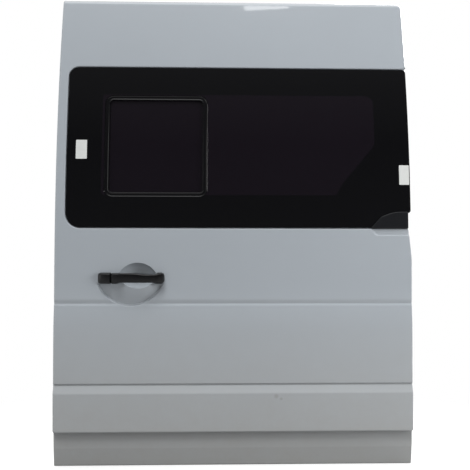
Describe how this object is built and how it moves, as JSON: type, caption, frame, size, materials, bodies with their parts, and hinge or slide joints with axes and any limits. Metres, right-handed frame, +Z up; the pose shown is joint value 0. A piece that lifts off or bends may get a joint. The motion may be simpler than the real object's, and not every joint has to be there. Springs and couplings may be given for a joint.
{
  "type": "van sliding side door",
  "caption": "Left sliding side door of a panel van with a bonded window that holds a small sliding pane, a pull handle in a pressed bowl, latches and roller arms.",
  "frame": {"origin": "centre of the bolting face of the centre hinge pad, on the inner side at the rear edge below the window", "axes": "+X to the rear of the van, +Y into the van, +Z up; the outside of the door faces -Y"},
  "size_m": [1.095, 0.2849, 1.463],
  "materials": {
    "body_paint": "gloss grey paint over primer",
    "tinted_glass": "dark privacy glass with a black printed border",
    "black_plastic": "moulded, fine grain",
    "handle_plastic": "moulded, satin grain",
    "rubber": "extruded, matte",
    "plated_steel": "zinc plated pressings",
    "claw_steel": "blanked and tumbled",
    "roller_plastic": "turned",
    "trim_board": "pressed fibre board"
  },
  "bodies": {
    "door": {"outer_skin": "body_paint", "handle_bowl": "body_paint", "sill_strip": "body_paint", "inner_panel": "body_paint", "window_frame": "body_paint", "window_glass": "tinted_glass", "glass_bond": "rubber", "pane_frame": "black_plastic", "sliding_pane": "tinted_glass", "pane_top_rail": "black_plastic", "pane_bottom_rail": "black_plastic", "pane_latch": "black_plastic", "rail_end_cap": "black_plastic", "handle_end_cap": "handle_plastic", "handle_gaskets": "rubber", "handle_bracket": "plated_steel", "handle_pivot_pin": "plated_steel", "front_latch": "plated_steel", "front_latch_claw": "claw_steel", "rear_latch": "plated_steel", "rear_latch_claw": "claw_steel", "door_seal": "rubber", "rubber_buffers": "rubber", "guide_pins": "plated_steel", "hinge_plate": "plated_steel", "lower_arm_bracket": "plated_steel", "lower_roller_arm": "plated_steel", "lower_rollers": "roller_plastic", "upper_roller_arm": "plated_steel", "upper_roller": "roller_plastic", "trim_panel": "trim_board", "release_bezel": "black_plastic", "release_lever": "black_plastic"},
    "handle": {"handle_grip": "handle_plastic"}
  },
  "joints": [
    {"name": "handle_pull", "type": "hinge", "parent": "door", "child": "handle", "pos_m": [-0.68402, -0.06113, -0.151], "axis": [0, 0, 1], "range_deg": [0, 10], "stiffness_Nm_per_rad": 6, "springref_deg": -5.73}
  ]
}
